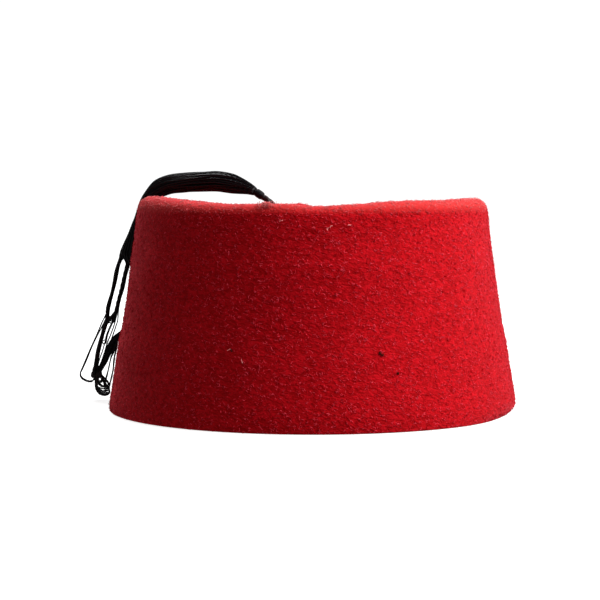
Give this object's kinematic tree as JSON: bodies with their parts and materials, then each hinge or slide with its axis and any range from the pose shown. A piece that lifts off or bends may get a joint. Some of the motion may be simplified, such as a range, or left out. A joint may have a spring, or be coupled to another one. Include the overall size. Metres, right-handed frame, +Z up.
{
  "type": "fez hat",
  "caption": "Short round felt hat shaped as a tapered drum, open below, with a softly sunken top and a dark corded tassel laid over its edge; worn on the head.",
  "frame": {"origin": "centre of the crown's round rim, on the surface that the rim rests on", "axes": "+Z up along the crown's axis, -Y towards the side seen in the picture, -X towards the tassel"},
  "size_m": [0.2072, 0.19, 0.1115],
  "materials": {
    "felt": "wool felt with a short raised nap",
    "thread": "glossy twisted black thread"
  },
  "bodies": {
    "root": {"crown": "felt", "tassel_cord": "thread", "cord_knot": "thread", "tassel_binding": "thread", "tassel_skirt": "thread"}
  },
  "joints": []
}
